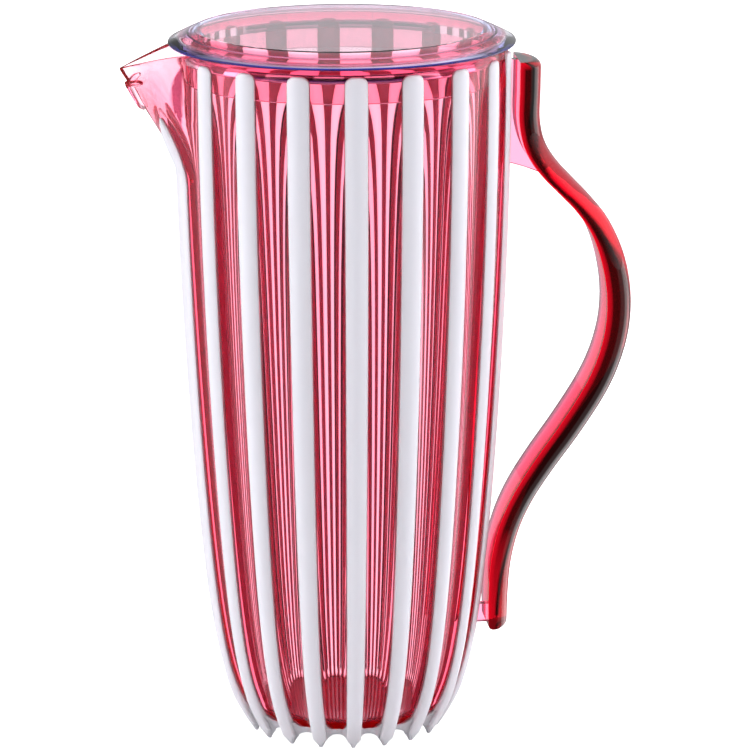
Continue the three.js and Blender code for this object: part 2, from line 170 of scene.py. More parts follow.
def wall_place(angle, radius, height):
    """Metres in the frame for a point of the round wall, pulled out and down where the spout is."""
    rise = np.maximum(0, (height - SPOUT_FOOT) / (RIM_HEIGHT - SPOUT_FOOT))
    spread = spout_spread(angle, rise)
    reach = radius + (SPOUT_REACH - RIM_RADIUS) * rise ** SPOUT_POWER * spread
    lifted = height - SPOUT_DIP * rise * spread
    return np.stack([AXIS_X + reach * np.cos(angle) * MM, reach * np.sin(angle) * MM, lifted * MM], -1)


print("spout tip at", [round(float(v) / MM, 1) for v in wall_place(math.pi, RIM_RADIUS, RIM_HEIGHT)], "mm")

# %% [markdown]
# ## Selecting and finishing by script
# Everything is deselected before a primitive is added, because the loaded nodes are still selected and an
# operator acts on all that is selected. A finished mesh has its doubles merged, its faces turned outwards
# and its soft edges smoothed.

# %% Helpers for pieces


def fresh():
    if bpy.context.mode != "OBJECT":
        bpy.ops.object.mode_set(mode="OBJECT")
    bpy.ops.object.select_all(action="DESELECT")


def only(piece):
    fresh()
    piece.select_set(True)
    bpy.context.view_layer.objects.active = piece


def edit(piece):
    only(piece)
    bpy.ops.object.mode_set(mode="EDIT")
    bpy.ops.mesh.select_all(action="SELECT")


def close_up(piece, smooth_angle):
    """Merges doubles, turns all faces outwards and smooths what bends less than the angle."""
    edit(piece)
    bpy.ops.mesh.remove_doubles(threshold=1e-6)
    bpy.ops.mesh.normals_make_consistent(inside=False)
    only(piece)
    bpy.ops.object.shade_smooth_by_angle(angle=math.radians(smooth_angle))
    print(piece.name, len(piece.data.vertices), "points", len(piece.data.polygons), "faces")


def points_of(piece):
    flat = np.zeros(3 * len(piece.data.vertices))
    piece.data.vertices.foreach_get("co", flat)
    return flat.reshape(-1, 3)


def put_points(piece, points):
    piece.data.vertices.foreach_set("co", points.astype(np.float32).ravel())
    piece.data.update()


def combine(piece, tool, operation):
    """Joins the tool to the piece or cuts it out, with a Boolean, and removes the tool."""
    only(piece)
    boolean = piece.modifiers.new("combine", "BOOLEAN")
    boolean.operation = operation
    boolean.solver = "EXACT"
    boolean.object = tool
    bpy.ops.object.modifier_apply(modifier=boolean.name)
    bpy.data.objects.remove(tool)


def paint(piece, name, values):
    """Stores a value between 0 and 1 on each point, for the piece's material to read."""
    layer = piece.data.attributes.new(name, "FLOAT", "POINT")
    layer.data.foreach_set("value", values.astype(np.float32))


def settle(piece, body, node):
    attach(piece, body)
    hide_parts(node)


print("helpers ready, mode", bpy.context.mode)

# %% [markdown]
# ## Turned pieces
# Jug, base plate, lid and seal are round. By hand such a piece starts as a chain of points beside the axis,
# and the Spin tool carries it once round. Each point keeps its number, so that a later step knows its row.

# %% Spin a profile


def cut_open(piece, count):
    """Takes away the edge between the last and the first point of a ring in edit mode."""
    mesh = bmesh.from_edit_mesh(piece.data)
    mesh.verts.ensure_lookup_table()
    bpy.ops.mesh.select_all(action="DESELECT")
    ends = {mesh.verts[0], mesh.verts[count - 1]}
    for edge in mesh.edges:
        edge.select_set(set(edge.verts) == ends)
    bmesh.update_edit_mesh(piece.data)
    bpy.ops.mesh.select_mode(type="EDGE")
    bpy.ops.mesh.delete(type="EDGE")
    bpy.ops.mesh.select_mode(type="VERT")
    bpy.ops.mesh.select_all(action="SELECT")


def spin_profile(name, profile, steps, closed):
    """Spins a chain of (radius, height) points, in millimetres, round the jug's axis."""
    fresh()
    bpy.ops.mesh.primitive_circle_add(vertices=len(profile), radius=1, fill_type="NOTHING")
    piece = bpy.context.object
    piece.name = piece.data.name = name
    put_points(piece, np.array([[AXIS_X + r * MM, 0, h * MM] for r, h in profile]))
    number = piece.data.attributes.new("number", "INT", "POINT")
    number.data.foreach_set("value", np.arange(len(profile)))
    edit(piece)
    if not closed:
        cut_open(piece, len(profile))
    bpy.ops.mesh.spin(steps=steps, angle=2 * math.pi, center=(AXIS_X, 0, 0), axis=(0, 0, 1))
    bpy.ops.mesh.select_all(action="SELECT")
    bpy.ops.mesh.remove_doubles(threshold=1e-6)
    fresh()
    return piece


def numbers_of(piece):
    numbers = np.zeros(len(piece.data.vertices), np.int32)
    piece.data.attributes["number"].data.foreach_get("value", numbers)
    return numbers


def spaced(low, high, steps, power=1.0):
    return [low + (high - low) * (i / steps) ** power for i in range(steps + 1)]


def arc(cx, cy, rx, ry, start, end, steps):
    turns = [math.radians(start + (end - start) * i / steps) for i in range(steps + 1)]
    return [(cx + rx * math.cos(t), cy + ry * math.sin(t)) for t in turns]


print("spin tool ready")

# %% [markdown]
# ## The jug's columns
# A jug like this comes out of one mould. Here it is spun with many columns of points, and each column then
# slides to its own angle: four lie in the seat of a rib, the others share the flute up to the next rib.

# %% Columns of the jug
SEAT_STOPS = (-1.0, -0.33, 0.33, 1.0)
SEAT_GRIP = 0.08
FLUTE_STEPS = 20
PER_RIB = len(SEAT_STOPS) + FLUTE_STEPS + 1
COLUMNS = RIB_COUNT * PER_RIB


def rib_top(rib):
    return np.where(np.abs(PITCH * (rib + 0.5) - math.pi) < PITCH, SPOUT_RIB_TOP, RIB_TOP)


def seat_half_angle(rib, height):
    return (rib_half_width(height, rib_top(rib)) - SEAT_GRIP) / crest(height)


def column_angle(column, height):
    rib = column // PER_RIB
    step = column % PER_RIB
    here = PITCH * (rib + 0.5)
    half = seat_half_angle(rib, height)
    seat = here + np.take(SEAT_STOPS, np.minimum(step, len(SEAT_STOPS) - 1)) * half
    end = here + PITCH - seat_half_angle((rib + 1) % RIB_COUNT, height)
    across = (step - len(SEAT_STOPS)) / FLUTE_STEPS
    return np.where(step < len(SEAT_STOPS), seat, here + half + across * (end - here - half))


def column_depth(column, height, passed):
    """How deep the wall lies behind the crest: in a seat until the rib has ended, else in a flute."""
    rib = column // PER_RIB
    step = column % PER_RIB
    across = np.clip((step - len(SEAT_STOPS)) / FLUTE_STEPS, 0, 1)
    flute = flute_depth(height) * 4 * across * (1 - across)
    ended = passed > np.where(rib_top(rib) < RIB_TOP, 0, 1)
    seat = np.where(ended, 0, RIB_ROOT - SEAT_GRIP)
    return np.where(step < len(SEAT_STOPS), seat, flute) + wall_drop(height)


print(COLUMNS, "columns,", PER_RIB, "to each rib")

# %% [markdown]
# ## The jug's levels
# Levels lie close where something happens: at the heel, at the corners of the rib tops and at the rim. An
# outer level also counts how many kinds of rib have ended below it, because the seat of an ended rib fills
# up.

# %% Levels of the jug
RIM_ROUND = ((1.0, 0.0), (0.4, 0.12), (0.1, 0.4), (0.0, 0.8))
CORNER_STOPS = (1, 0.7, 0.45, 0.25, 0.1, 0.02, 0)
FLOOR_ROUND = 4.0
FLOOR_DISC = 14.0


def corner_levels(top):
    return [top - RIB_CORNER * stop for stop in CORNER_STOPS]


spout_seat_top = SPOUT_RIB_TOP + SEAT_GRIP
seat_top = RIB_TOP + SEAT_GRIP
under_spout = spaced(BODY_LOW, SPOUT_RIB_TOP - RIB_CORNER, 62, 1.35)[:-1] + corner_levels(SPOUT_RIB_TOP)
beside_spout = spaced(spout_seat_top, RIB_TOP - RIB_CORNER, 10)[1:-1] + corner_levels(RIB_TOP)
outer_levels = [(h, 0, 0.0) for h in under_spout + [spout_seat_top]]
outer_levels += [(h, 1, 0.0) for h in [spout_seat_top] + beside_spout + [seat_top]]
outer_levels += [(seat_top, 2, 0.0)] + [(RIM_HEIGHT - drop, 2, loss) for drop, loss in RIM_ROUND]
inner_levels = [(RIM_HEIGHT - drop, loss) for drop, loss in reversed(RIM_ROUND)]
inner_levels += [(h, 0.0) for h in reversed(spaced(SPOUT_FOOT, RIM_HEIGHT - 2.4, 18))]
inner_levels += [(h, 0.0) for h in reversed(spaced(FLOOR_TOP + FLOOR_ROUND, SPOUT_FOOT, 26, 1.3)[:-1])]
for turn in (15, 30, 45, 60, 75, 90):
    drop = FLOOR_ROUND * math.sin(math.radians(turn))
    inner_levels.append((FLOOR_TOP + FLOOR_ROUND - drop, FLOOR_ROUND * (1 - math.cos(math.radians(turn)))))
print(len(outer_levels), "outer and", len(inner_levels), "inner levels")

# %% [markdown]
# ## Spinning the jug
# The profile goes up the outside, over the rim, down the inside and across the floor. After the spin its
# points go where the curves say: flutes pressed in, seats cut, spout pulled out. Towards the spout's lip
# the wall thins, so that the far rim shows as a fine line.

# %% Spin and shape the jug
LIP_THIN = 1.1
LIP_START = 247.0
LIP_RUN = 6.0
profile = [(0.0, BODY_LOW), (FLOOR_DISC, BODY_LOW)]
first_outer = len(profile)
profile += [(float(crest(h)) - 0.01 * i, h) for i, (h, passed, loss) in enumerate(outer_levels)]
first_inner = len(profile)
profile += [(float(inside_radius(h)) - 1 - loss, h) for h, loss in inner_levels]
profile += [(FLOOR_DISC, FLOOR_TOP), (0.0, FLOOR_TOP)]
jug = spin_profile("jug_clear_body", profile, COLUMNS, closed=False)
number = numbers_of(jug)
points = points_of(jug)
round_share = np.arctan2(points[:, 1], points[:, 0] - AXIS_X) / (2 * math.pi)
column = np.round(round_share * COLUMNS).astype(int) % COLUMNS
heights = np.array([h for r, h in profile])[number]
angle = column_angle(column, heights)

is_outer = (number >= first_outer) & (number < first_inner)
level = np.clip(number - first_outer, 0, len(outer_levels) - 1)
passed = np.array([passed for h, passed, loss in outer_levels])[level]
loss = np.array([loss for h, passed, loss in outer_levels])[level]
outer = wall_place(angle, crest(heights) - column_depth(column, heights, passed) - loss, heights)

is_inner = (number >= first_inner) & (number < first_inner + len(inner_levels))
level = np.clip(number - first_inner, 0, len(inner_levels) - 1)
loss = np.array([loss for h, loss in inner_levels])[level]
in_floor_round = heights < FLOOR_TOP + FLOOR_ROUND
bend = np.where(in_floor_round, -1.0, 1.0)
inner_height = np.where(in_floor_round, FLOOR_TOP + FLOOR_ROUND, heights)
thin = LIP_THIN * np.clip((heights - LIP_START) / LIP_RUN, 0, 1) * np.clip(3 * spout_spread(angle, 1.0), 0, 1)
inner = wall_place(angle, inside_radius(inner_height) + bend * loss + thin, heights)

points[is_outer] = outer[is_outer]
points[is_inner] = inner[is_inner]
put_points(jug, points)
close_up(jug, 38)

# %% [markdown]
# ## Swept pieces
# Ribs, handle, bead and keel are sections carried along a line. By hand that is one ring, extruded step
# after step and set right each time. The face that is carried along caps both ends.

# %% A tube that is extruded ring by ring


def extrude_rings(name, rings):
    """Extrudes a ring through all the given rings of points, in metres, and caps both ends."""
    fresh()
    count = len(rings[0])
    bpy.ops.mesh.primitive_circle_add(vertices=count, radius=0.01, fill_type="NGON")
    piece = bpy.context.object
    piece.name = piece.data.name = name
    put_points(piece, np.array(rings[0]))
    order = piece.data.attributes.new("order", "INT", "POINT")
    order.data.foreach_set("value", np.arange(count))
    edit(piece)
    bpy.ops.mesh.select_mode(type="FACE")
    for ring in rings[1:]:
        bpy.ops.mesh.extrude_region_move()
        mesh = bmesh.from_edit_mesh(piece.data)
        layer = mesh.verts.layers.int["order"]
        for point in mesh.verts:
            if point.select:
                point.co = ring[point[layer]]
    bmesh.update_edit_mesh(piece.data)
    bpy.ops.mesh.select_mode(type="VERT")
    fresh()
    return piece


print("ring tool ready")

# %% [markdown]
# ## Bead and keel
# Under its lip the spout has a small bead across it and a keel below, which stop the last drop from running
# down. Both are short swept tubes, joined to the jug with a Boolean, because clear plastic shows every
# inner face.

# %% Bead and keel under the spout
BEAD_HEIGHT = 249.0
BEAD_TURNS = (-5.5, -5.3, -5, -3.8, -2.6, -1.3, 0, 1.3, 2.6, 3.8, 5, 5.3, 5.5)
BEAD_SIZES = (0.15, 0.6, 0.9) + (1.3,) * 7 + (0.9, 0.6, 0.15)
KEEL_HEIGHTS = (248.5, 247.0, 244.0, 241.0, 239.0, 238.3, 237.8, 237.5)
KEEL_SIZES = (1.5,) * 4 + (1.45, 1.2, 0.7, 0.2)
DRIP_SIDES = 12


def round_ring(angle, height, size, along):
    """A small ring of points round a spot on the outside of the wall, across the way it is swept."""
    ring = []
    for i in range(DRIP_SIDES):
        turn = 2 * math.pi * i / DRIP_SIDES
        out = float(crest(height)) + size * math.cos(turn)
        up = size * math.sin(turn)
        spot = (angle, out, height + up) if along == "round" else (angle + up / RIM_RADIUS, out, height)
        ring.append(tuple(map(float, wall_place(*(np.array(v) for v in spot)))))
    return ring


bead_rings = []
for turn, size in zip(BEAD_TURNS, BEAD_SIZES):
    bead_rings.append(round_ring(math.pi + math.radians(turn), BEAD_HEIGHT, size, "round"))
keel_rings = [round_ring(math.pi, h, z, "up") for h, z in zip(KEEL_HEIGHTS, KEEL_SIZES)]
for extra in (extrude_rings("drip_bead", bead_rings), extrude_rings("drip_keel", keel_rings)):
    close_up(extra, 60)
    combine(jug, extra, "UNION")
close_up(jug, 38)

# %% [markdown]
# ## Painted deep shade of the jug
# Under the rim the wall looks crimson: its own red along a long way, with painted shade on top. A lens on the
# near side of the spout is a painted crimson picture of the far wall. Both are painted on the points for the
# material to read.

# %% Paint the shade of the collar and the lens
COLLAR_BAND = 3.2
COLLAR_FADE = 0.6
LENS_LOW, LENS_HIGH = 231, 253
LENS_STARTS = ((231, 236, 240, 244, 248, 251, 253), (17.4, 15.1, 15.0, 15.1, 16.0, 17.2, 18.5))
LENS_ENDS = ((231, 236, 240, 253), (17.4, 18.7, 19.1, 19.3))
LENS_FADE = 0.5
LENS_LIFT = 1.2
points = points_of(jug)
angle = np.arctan2(points[:, 1], points[:, 0] - AXIS_X)
pull = spout_spread(angle, 1.0)
below_rim = RIM_HEIGHT - SPOUT_DIP * pull - points[:, 2] / MM
band = COLLAR_BAND - 3.0 * np.minimum(1, pull * 6)
# Painted shade under the rim, on top of the wall's own red.
painted_deep_shade = np.clip((band - below_rim) / COLLAR_FADE, 0, 1)

height = points[:, 2] / MM + LENS_LIFT
wall = wall_place(angle, crest(height), height)
from_wall = np.hypot(wall[:, 0] - AXIS_X, wall[:, 1]) - np.hypot(points[:, 0] - AXIS_X, points[:, 1])
turned = np.degrees(angle) + 180
# Painted crimson lens: the far wall as seen through the near one, painted on the near side of the spout.
lens = np.clip((turned - np.interp(height, *LENS_STARTS)) / LENS_FADE + 0.5, 0, 1)
lens *= np.clip((np.interp(height, *LENS_ENDS) - turned) / LENS_FADE + 0.5, 0, 1)
lens *= (from_wall < 2.0 * MM) & (height > LENS_LOW) & (height < LENS_HIGH)
paint(jug, "painted_deep_shade", np.maximum(0.5 * painted_deep_shade, lens))
settle(jug, "jug", "jug_body")
print("collar on", int((painted_deep_shade > 0.5).sum()), "points, lens on", int((lens > 0.5).sum()))

# %% [markdown]
# ## One rib
# Ribs and scalloped base are one white moulding. A rib has a crowned outside with two rounded long edges
# and a flat back in its seat. That section is extruded up the wall, once for a full rib and once for a rib
# under the spout.

# %% Model one rib
RIB_CROWN = 1.5
CROWN_FADE = 14.0
CROWN_FULL = 3.0
RIB_EDGE = 0.5
EDGE_STEPS = 3
FOOT_LEVELS = [0.0, 0.1, 0.3, 0.7, 1.2, 1.8, 2.4, 3.0, 3.6, 4.5]
FOOT_WEDGE = 0.2


def rib_section(half_width, low, crown, corner):
    """A ring of (side, depth) across a rib, with a crowned outside and two rounded corners."""
    ring = []
    for i in range(EDGE_STEPS + 1):
        turn = math.pi / 2 * (1 - i / EDGE_STEPS)
        ring.append((half_width - corner + corner * math.cos(turn), corner * (math.sin(turn) - 1)))
    bulge = [(half_width * s, 0.0) for s in (0.2, 0.4, 0.6, 0.8)]
    right = [(x, y + crown * (1 - (x / half_width) ** 2)) for x, y in bulge + ring]
    left = [(-x, y) for x, y in right[::-1]]
    return left + [(0.0, crown)] + right + [(half_width, low), (0, low), (-half_width, low)]


def rib_rings(angle, top):
    steps = 60 if top == RIB_TOP else 52
    levels = FOOT_LEVELS + spaced(5.6, top - RIB_CORNER, steps, 1.2)[:-1] + corner_levels(top)
    rings = []
    for h in levels:
        half = float(rib_half_width(h, top))
        out = float(crest(h))
        back = (float(wall_drop(h)) + RIB_ROOT) * min(1.0, FOOT_WEDGE + (1 - FOOT_WEDGE) * h / FOOT_RISE)
        crown = RIB_CROWN * min(1.0, h / CROWN_FADE) * min(1.0, half / CROWN_FULL)
        section = rib_section(half, -back, crown, min(RIB_EDGE, 0.5 * half))
        ring = [wall_place(np.array(angle + x / out), np.array(out + y), np.array(h)) for x, y in section]
        rings.append([tuple(map(float, p)) for p in ring])
    return rings


first_rib = extrude_rings("rib_00", rib_rings(PITCH / 2, RIB_TOP))
close_up(first_rib, 40)
spout_rib = extrude_rings("rib_08", rib_rings(PITCH * 8.5, SPOUT_RIB_TOP))
close_up(spout_rib, 40)

# %% [markdown]
# ## All the ribs
# The other ribs are copies, turned round the axis, each with a mesh of its own. The second rib under the
# spout is the mirror image of the first.

# %% Copy the rib round the jug
axis_point = (AXIS_X, 0, 0)
ribs = [first_rib, spout_rib]


def copy_of(piece):
    only(piece)
    bpy.ops.object.duplicate(linked=False)
    return bpy.context.object


def apply_place():
    bpy.ops.object.transform_apply(location=True, rotation=True, scale=True)


for turn in range(1, RIB_COUNT):
    if rib_top(turn) == RIB_TOP:
        ribs.append(copy_of(first_rib))
        bpy.ops.transform.rotate(value=-turn * PITCH, orient_axis="Z", center_override=axis_point)
        apply_place()
mirrored_rib = copy_of(spout_rib)
bpy.ops.transform.resize(value=(1, -1, 1), center_override=axis_point)
apply_place()
close_up(mirrored_rib, 40)
ribs.append(mirrored_rib)
starts = [points_of(rib)[0] for rib in ribs]
rib_turns = [round(math.degrees(math.atan2(p[1], p[0] - AXIS_X))) for p in starts]
print(len(ribs), "ribs at", rib_turns, "degrees")

# %% [markdown]
# ## The scalloped ring of the base
# Between two feet the white base arches up, and at the top it runs into the ribs with a fillet. A plain
# ring is spun, and its rows are moved up and down by the arch and in and out by the wall's curves.

# %% The scalloped foot ring
BASE_HIGH = 6.9
RING_WALL = 4.0
RING_PROUD = 0.05
FILLET_WIDE = 2.4
FILLET_TALL = 3.0
UNDER_RIB = 0.35
RING_ROWS = 9
RING_COLUMNS = RIB_COUNT * 24
ring_profile = [(40.0 + 0.01 * i, 3.0 + 0.5 * i) for i in range(RING_ROWS)]
ring_profile += [(36.0 - 0.01 * i, 7.0 - 0.5 * i) for i in range(RING_ROWS)]
foot_ring = spin_profile("foot_ring", ring_profile, RING_COLUMNS, closed=True)
number = numbers_of(foot_ring)
points = points_of(foot_ring)
angle = np.arctan2(points[:, 1], points[:, 0] - AXIS_X)
on_outside = number < RING_ROWS
from_gap = np.abs((angle / PITCH + 0.5) % 1 - 0.5) * 2
span = PITCH / 2 * float(crest(8.0))
arch = FOOT_RISE * (1 - np.minimum(1, from_gap * span / (span - FOOT_TIP)) ** 3)
low = np.where(on_outside, arch, FOOT_RISE)
from_rib = (1 - from_gap - RIB_SHARE) * span
bent = np.clip(1 - from_rib / FILLET_WIDE, 0, 1)
high = BASE_HIGH + FILLET_TALL * (1 - np.sqrt(1 - bent ** 2))
row = np.where(on_outside, number, 2 * RING_ROWS - 1 - number) / (RING_ROWS - 1)
heights = low + (high - low) * row
across = np.clip(from_rib / (span * (1 - RIB_SHARE)), 0, 1)
flute = flute_depth(heights) * (1 - (1 - across) ** 2)
draw = np.clip(from_rib / FILLET_WIDE, 0, 1)
drawn = UNDER_RIB + (1 - UNDER_RIB) * np.sqrt(draw * (2 - draw))
dip = wall_drop(heights) * np.where(from_rib < 0, UNDER_RIB, drawn) + flute
radius = crest(heights) - dip + RING_PROUD - np.where(on_outside, 0, RING_WALL)
put_points(foot_ring, wall_place(angle, radius, heights))
close_up(foot_ring, 50)

# %% [markdown]
# ## The plate under the jug
# A flat round plate, a spun disc, closes the ring under the jug's floor. Ribs, ring and plate are then
# joined, because on the real carafe they are one piece of white plastic.

# %% Plate, and join the moulding
PLATE_INSET = 1.5
plate_edge = float(crest(BASE_HIGH) - wall_drop(BASE_HIGH)) - FLUTE_DEPTH - PLATE_INSET
plate_profile = [(r, FOOT_RISE) for r in (0.0, 10.0, plate_edge)]
plate_profile += [(r, BASE_HIGH) for r in (plate_edge, 10.0, 0.0)]
cage = spin_profile("base_plate", plate_profile, 90, closed=False)
close_up(cage, 40)
only(cage)
for piece in ribs + [foot_ring]:
    piece.select_set(True)
bpy.ops.object.join()
cage.name = cage.data.name = "rib_cage_white"
settle(cage, "jug", "rib_cage")
print("moulding of", len(cage.data.polygons), "faces")

# %% [markdown]
# ## The sweep of the handle
# The handle is a solid strap in an S sweep. Knots give its middle line: the share of the height, how far it
# bows out from the wall, and how thick it is. A smooth curve runs through them.

# %% Sweep of the handle
HANDLE_TOP = 249.6
HANDLE_FOOT = 37.3
HANDLE_BOW = 43.5
GRIP_THICK = 10.3
HANDLE_SWEEP = [
    (1, 0.185, 0.864), (0.946, 0.182, 0.863), (0.898, 0.18, 0.85), (0.861, 0.214, 0.82), (0.833, 0.278, 0.78),
    (0.807, 0.374, 0.738), (0.78, 0.502, 0.705), (0.747, 0.657, 0.714), (0.705, 0.81, 0.804),
    (0.648, 0.929, 0.928), (0.588, 0.991, 0.976), (0.53, 0.994, 0.997), (0.473, 0.94, 1), (0.418, 0.835, 1),
    (0.351, 0.648, 0.98), (0.286, 0.444, 0.948), (0.23, 0.292, 0.918), (0.176, 0.198, 0.889),
    (0.117, 0.158, 0.853), (0.059, 0.169, 0.811), (0, 0.207, 0.77),
]
STEPS_PER_KNOT = 20
LOOK_AHEAD = 1.5


def smooth_line(points, per_span):
    """A Catmull-Rom line through the points, with as many steps in each span."""
    last = len(points) - 1
    line = []
    for i in range(last):
        a, b, c, d = (np.array(points[min(max(j, 0), last)], float) for j in range(i - 1, i + 3))
        if i == 0:
            a = 2 * b - c
        if i == last - 1:
            d = 2 * c - b
        for k in range(per_span):
            t = k / per_span
            bend = (2 * a - 5 * b + 4 * c - d) * t * t + (3 * b - a - 3 * c + d) * t ** 3
            line.append(0.5 * (2 * b + (c - a) * t + bend))
    line.append(np.array(points[-1], float))
    return np.array(line)


knots = []
for share, bow, thick in HANDLE_SWEEP:
    h = HANDLE_FOOT + share * (HANDLE_TOP - HANDLE_FOOT)
    knots.append((float(crest(h)) + HANDLE_BOW * bow, h, GRIP_THICK * thick))
sweep = smooth_line(knots, STEPS_PER_KNOT)
run = np.concatenate([[0], np.cumsum(np.hypot(*np.diff(sweep[:, :2], axis=0).T))])
HANDLE_LENGTH = float(run[-1])


def handle_at(stop):
    """Middle point, outward direction and thickness of the strap, at millimetres from its top."""
    point = np.array([np.interp(stop, run, sweep[:, k]) for k in range(3)])
    ahead = np.array([np.interp(stop + LOOK_AHEAD, run, sweep[:, k]) for k in range(2)])
    behind = np.array([np.interp(stop - LOOK_AHEAD, run, sweep[:, k]) for k in range(2)])
    along = (ahead - behind) / np.linalg.norm(ahead - behind)
    return point[:2], np.array([-along[1], along[0]]), point[2]


print("handle runs", round(HANDLE_LENGTH), "mm")

# %% [markdown]
# ## The strap
# The strap is flat towards the jug and round outside, so it fills the hand. Its section is extruded along
# the sweep. The head is rounded on the outside only, the free tail on both sides.

# %% Extrude the strap
HANDLE_WIDTH = 24.0
STRAP_EDGE = 0.3
HEAD_ROUND = 3.0
TAIL_ROUND = 1.6
ROUND_STEPS = 48
STRAP_STEPS = 110
END_STOPS = (0.0, 0.05, 0.2, 0.5, 1.0, 1.6, 2.3, 3.0)


def strap_section(thick):
    """A ring of (side, out) points: flat inside, round outside, narrow long edges."""
    half = HANDLE_WIDTH / 2
    turns = [math.pi * (i / ROUND_STEPS - 0.5) for i in range(ROUND_STEPS + 1)]
    ring = [(half * math.sin(t), STRAP_EDGE + (thick - STRAP_EDGE) * math.cos(t)) for t in turns]
    return ring + [(half * s, 0.0) for s in (0.99, 0.66, 0.33, 0.0, -0.33, -0.66, -0.99)]


stops = list(END_STOPS) + spaced(END_STOPS[-1], HANDLE_LENGTH - END_STOPS[-1], STRAP_STEPS)[1:-1]
stops += [HANDLE_LENGTH - d for d in reversed(END_STOPS)]
rings = []
for stop in stops:
    middle, out, thick = handle_at(stop)
    half = thick / 2 - float(corner_loss(HANDLE_LENGTH - stop, TAIL_ROUND))
    squeeze = (2 * half - float(corner_loss(stop, HEAD_ROUND))) / thick
    ring = []
    for side, depth in strap_section(thick):
        spot = middle + out * (depth * squeeze - half)
        ring.append((AXIS_X + spot[0] * MM, side * MM, spot[1] * MM))
    rings.append(ring)
handle = extrude_rings("handle_clear", rings)
close_up(handle, 40)

# %% [markdown]
# ## The webs
# A thin upright web joins the head of the strap to the jug, and a short stub joins the tail. Each is drawn
# as its side view, extruded to its thickness and joined with a Boolean, so that no face is left inside.

# %% Webs between handle and jug
WEB_THICK = 4.2
WEB_SEAT = 0.05
UPPER_WEB_LOW = 211.7
UPPER_WEB_RUN = 52
WEB_SAG = 1.1
LOWER_WEB_LOW = 37.9
LOWER_WEB_HIGH = 44.9


def web_plate(name, outline):
    """A thin upright plate from its side view, (distance from the axis, height) in millimetres."""
    fresh()
    bpy.ops.mesh.primitive_circle_add(vertices=len(outline), radius=0.01, fill_type="NGON")
    piece = bpy.context.object
    piece.name = name
    put_points(piece, np.array([[AXIS_X + x * MM, -WEB_THICK / 2 * MM, h * MM] for x, h in outline]))
    edit(piece)
    bpy.ops.mesh.select_mode(type="FACE")
    bpy.ops.mesh.select_all(action="SELECT")
    bpy.ops.mesh.extrude_region_move(TRANSFORM_OT_translate={"value": (0, WEB_THICK * MM, 0)})
    bpy.ops.mesh.select_mode(type="VERT")
    close_up(piece, 40)
    return piece


def wall_at_flute(height):
    return float(crest(height) - flute_depth(height) - wall_drop(height)) + WEB_SEAT


upper = [(wall_at_flute(h), h) for h in spaced(UPPER_WEB_LOW, HANDLE_TOP - FIT_GAP, 12)]
upper += [tuple(handle_at(s)[0]) for s in spaced(0.5, UPPER_WEB_RUN, 20)]
start, end = np.array(upper[-1]), np.array(upper[0])
for t in spaced(0, 1, 8)[1:-1]:
    x, h = start + (end - start) * t
    upper.append((x, h + WEB_SAG * math.sin(math.pi * t)))
lower = [(wall_at_flute(h), h) for h in spaced(LOWER_WEB_LOW, LOWER_WEB_HIGH, 6)]
tail_line = [tuple(handle_at(s)[0]) for s in spaced(HANDLE_LENGTH - 9, HANDLE_LENGTH - 0.8, 10)]
lower += [(x, h) for x, h in tail_line if LOWER_WEB_LOW < h < LOWER_WEB_HIGH]
for web in (web_plate("upper_web", upper), web_plate("lower_web", lower)):
    combine(handle, web, "UNION")
close_up(handle, 32)

# %% [markdown]
# ## The painted dark band of the handle
# In the studio the strap's round outside shows a dark card as a long band, which narrows where the strap
# leans over and stops before its head. That band is painted on the points as shade, with a lighter painted
# shade on the rest of the round side and a dark back edge: 0 is the clear inside, one half the round side, 1
# the band.

# %% Paint the band on the handle
BAND_END = 0.92
BAND_NARROWING = 0.53
BAND_FADE = 0.14
SLOPE_HEIGHTS, SLOPE = (166, 202, 206, 224), (0, 1, 1, 0)
BAND_HEIGHTS = (42, 75, HANDLE_TOP - 2.5, HANDLE_TOP - 0.5)
BAND_STRENGTH = (0.45, 1, 1, 0)
points = points_of(handle)
flat = np.stack([(points[:, 0] - AXIS_X) / MM, points[:, 2] / MM], -1)
nearest = np.argmin(((flat[:, None, :] - sweep[None, :, :2]) ** 2).sum(-1), axis=1)
along = np.gradient(sweep[:, :2], axis=0)
along /= np.linalg.norm(along, axis=1)[:, None]
outward = np.stack([-along[nearest, 1], along[nearest, 0]], -1)
offset = ((flat - sweep[nearest, :2]) * outward).sum(-1)
share = offset / sweep[nearest, 2] + 0.5

# Painted light: the dark card as a band on the near half, a lighter painted shade on the round side, a dark
# back edge.
in_front = np.clip(0.5 - points[:, 1] / MM / 6, 0, 1)
slope = np.interp(flat[:, 1], SLOPE_HEIGHTS, SLOPE)
dark = np.clip(share / (0.22 - 0.12 * slope), 0, 1) * in_front
dark *= np.clip((BAND_END - BAND_NARROWING * slope - share) / BAND_FADE, 0, 1)
dark *= np.interp(flat[:, 1], BAND_HEIGHTS, BAND_STRENGTH)
back_edge_shade = np.clip((points[:, 1] / MM - 6.0) / 3.0, 0, 1) * (share < 0.05) * (1 - slope)
dark = np.maximum(dark, back_edge_shade)
round_side_shade = np.clip((share - 0.005) / 0.02, 0, 1) * (0.2 + 0.3 * in_front) * (1 - 0.6 * slope)
paint(handle, "painted_light_tone", np.maximum(round_side_shade, 0.5 * dark) + 0.5 * dark)
settle(handle, "jug", "handle")
print("band on", int((dark > 0.5).sum()), "of", len(points), "points")

# %% [markdown]
# ## The lid
# The lid is turned: a raised flat top, a sloping shoulder that ends in a round lip over the mouth, and a
# skirt inside it. The underside follows the shoulder, because a flat one would trap rays and turn the
# shoulder black.

